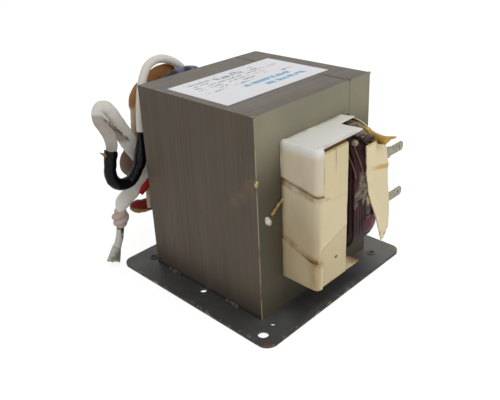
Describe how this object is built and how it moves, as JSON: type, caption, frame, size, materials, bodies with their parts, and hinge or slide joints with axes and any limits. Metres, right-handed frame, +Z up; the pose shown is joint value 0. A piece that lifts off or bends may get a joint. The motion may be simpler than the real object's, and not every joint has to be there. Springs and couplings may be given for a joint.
{
  "type": "microwave transformer",
  "caption": "High-voltage transformer on a flat steel base plate, with paper-wrapped windings side by side, two tabs and sleeved leads.",
  "frame": {"origin": "centre of the four pilot holes, at the underside of the base plate, which is also the middle of the plate", "axes": "+Z up, away from the base plate; +X along the coils' axis from the core's yoke to its closing bar; -Y towards the side with the two tabs"},
  "size_m": [0.1205, 0.1297, 0.1148],
  "materials": {
    "lamination_steel": "varnished laminations, brown grey, satin",
    "plate_steel": "dark slate, worn",
    "weld_metal": "rough, varnished over",
    "paper": "white insulating paper, matte, stained at the edges",
    "card": "yellowish cream insulating card, matte",
    "fine_wire": "enamelled fine wire, glossy",
    "insulated_wire": "insulated filament wire",
    "enamelled_wire": "dark maroon enamel under varnish",
    "varnish": "golden brown varnish",
    "tab_metal": "tinned, dull",
    "bare_wire": "bare wire under varnish",
    "solder": "dull solder",
    "label_paper": "white sticker, matte",
    "woven_sleeve": "woven glass sleeve, off-white",
    "black_sleeving": "black sleeve, glossy where varnished",
    "stained_sleeve": "woven sleeve soaked brown with varnish",
    "red_sleeving": "red sleeve over a tan one"
  },
  "bodies": {
    "root": {"base_plate": "plate_steel", "core_e_stack": "lamination_steel", "core_closing_bar": "lamination_steel", "core_seam_welds": "weld_metal", "foot_welds": "weld_metal", "secondary_liner": "paper", "secondary_winding": "fine_wire", "filament_winding": "insulated_wire", "shunt_lower": "lamination_steel", "shunt_upper": "lamination_steel", "shunt_paper_lower": "card", "shunt_paper_upper": "card", "primary_liner": "paper", "primary_winding": "enamelled_wire", "primary_side_board": "card", "secondary_wrap_front": "paper", "secondary_wrap_rear": "paper", "secondary_card_front": "card", "secondary_card_rear": "card", "top_paper_front": "paper", "top_paper_rear": "paper", "foot_paper_front": "paper", "foot_paper_rear": "paper", "primary_card_front": "card", "varnished_paper": "varnish", "tab_upper": "tab_metal", "tab_lower": "tab_metal", "ground_wire": "bare_wire", "ground_solder": "solder", "rating_label": "label_paper", "white_lead": "woven_sleeve", "black_sleeve": "black_sleeving", "loop_sleeve": "woven_sleeve", "lead_knot": "woven_sleeve", "lower_sleeve": "woven_sleeve", "frayed_end": "woven_sleeve", "brown_sleeve": "stained_sleeve", "top_sleeve": "black_sleeving", "red_sleeve": "red_sleeving", "cream_strand": "woven_sleeve"}
  },
  "joints": []
}
